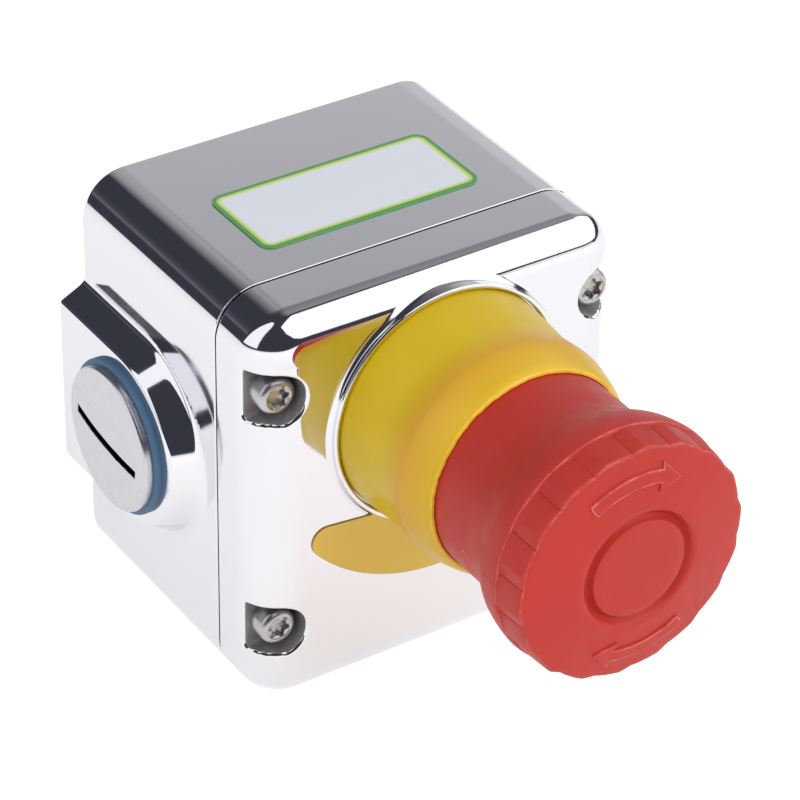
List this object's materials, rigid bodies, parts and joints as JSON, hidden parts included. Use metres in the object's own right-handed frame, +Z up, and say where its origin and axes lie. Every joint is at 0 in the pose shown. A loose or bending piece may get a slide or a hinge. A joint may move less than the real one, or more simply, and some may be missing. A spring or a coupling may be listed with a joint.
{
  "type": "emergency stop push button",
  "caption": "Mushroom-head twist-release emergency stop button with a guard shroud, on a polished steel box with a plugged cable entry and rear fixing holes.",
  "frame": {"origin": "centre of the box's flat rear mounting face", "axes": "+Z up, +Y out of the rear face towards the wall, so the button points along -Y; +X to the right seen from the front"},
  "size_m": [0.0839, 0.1185, 0.0813],
  "materials": {
    "polished_steel": "mirror-polished cast stainless steel",
    "screw_steel": "bright stainless steel",
    "plug_metal": "nickel-plated brass, polished",
    "spring_steel": "plain drawn wire",
    "red_plastic": "satin moulded plastic",
    "yellow_plastic": "satin moulded plastic",
    "legend_yellow": "printed film, bare",
    "label_white": "printed film with a green border, no words",
    "blue_seal": "moulded rubber",
    "black_rubber": "moulded rubber",
    "black_plastic": "moulded plastic",
    "grey_plastic": "moulded plastic",
    "contact_brass": "plain brass"
  },
  "bodies": {
    "box": {"enclosure_body": "polished_steel", "front_cover": "polished_steel", "cover_screws": "screw_steel", "carrier_screws": "screw_steel", "earth_screw": "screw_steel", "lock_washer": "screw_steel", "terminal_screws_left": "screw_steel", "terminal_screws_middle": "screw_steel", "terminal_screws_right": "screw_steel", "entry_plug": "plug_metal", "latch_spring": "spring_steel", "return_spring": "spring_steel", "contact_spring_left": "spring_steel", "contact_spring_middle": "spring_steel", "contact_spring_right": "spring_steel", "guard_shroud": "yellow_plastic", "legend_plate": "legend_yellow", "rating_label": "label_white", "entry_seal": "blue_seal", "cover_gasket": "black_rubber", "spindle_seal": "black_rubber", "operator_barrel": "black_plastic", "fixing_nut": "black_plastic", "contact_carrier": "black_plastic", "contact_block_left": "grey_plastic", "contact_block_middle": "grey_plastic", "contact_block_right": "grey_plastic", "fixed_contacts_left": "contact_brass", "fixed_contacts_middle": "contact_brass", "fixed_contacts_right": "contact_brass", "terminal_clamps_left": "contact_brass", "terminal_clamps_middle": "contact_brass", "terminal_clamps_right": "contact_brass", "earth_saddle": "contact_brass"},
    "plunger": {"actuator_plate": "black_plastic", "contact_plunger_left": "black_plastic", "contact_plunger_middle": "black_plastic", "contact_plunger_right": "black_plastic", "contact_bridge_left": "contact_brass", "contact_bridge_middle": "contact_brass", "contact_bridge_right": "contact_brass"},
    "head": {"mushroom_head": "red_plastic", "spindle": "screw_steel"}
  },
  "joints": [
    {"name": "button_press", "type": "slide", "parent": "box", "child": "plunger", "axis": [0, 1, 0], "range_m": [0, 0.006], "stiffness_N_per_m": 1500, "deforming": ["return_spring", "latch_spring", "contact_spring_left", "contact_spring_middle", "contact_spring_right"]},
    {"name": "twist_release", "type": "hinge", "parent": "plunger", "child": "head", "pos_m": [0, -0.061, 0.0148], "axis": [0, 1, 0], "range_deg": [0, 40], "stiffness_Nm_per_rad": 0.3}
  ]
}
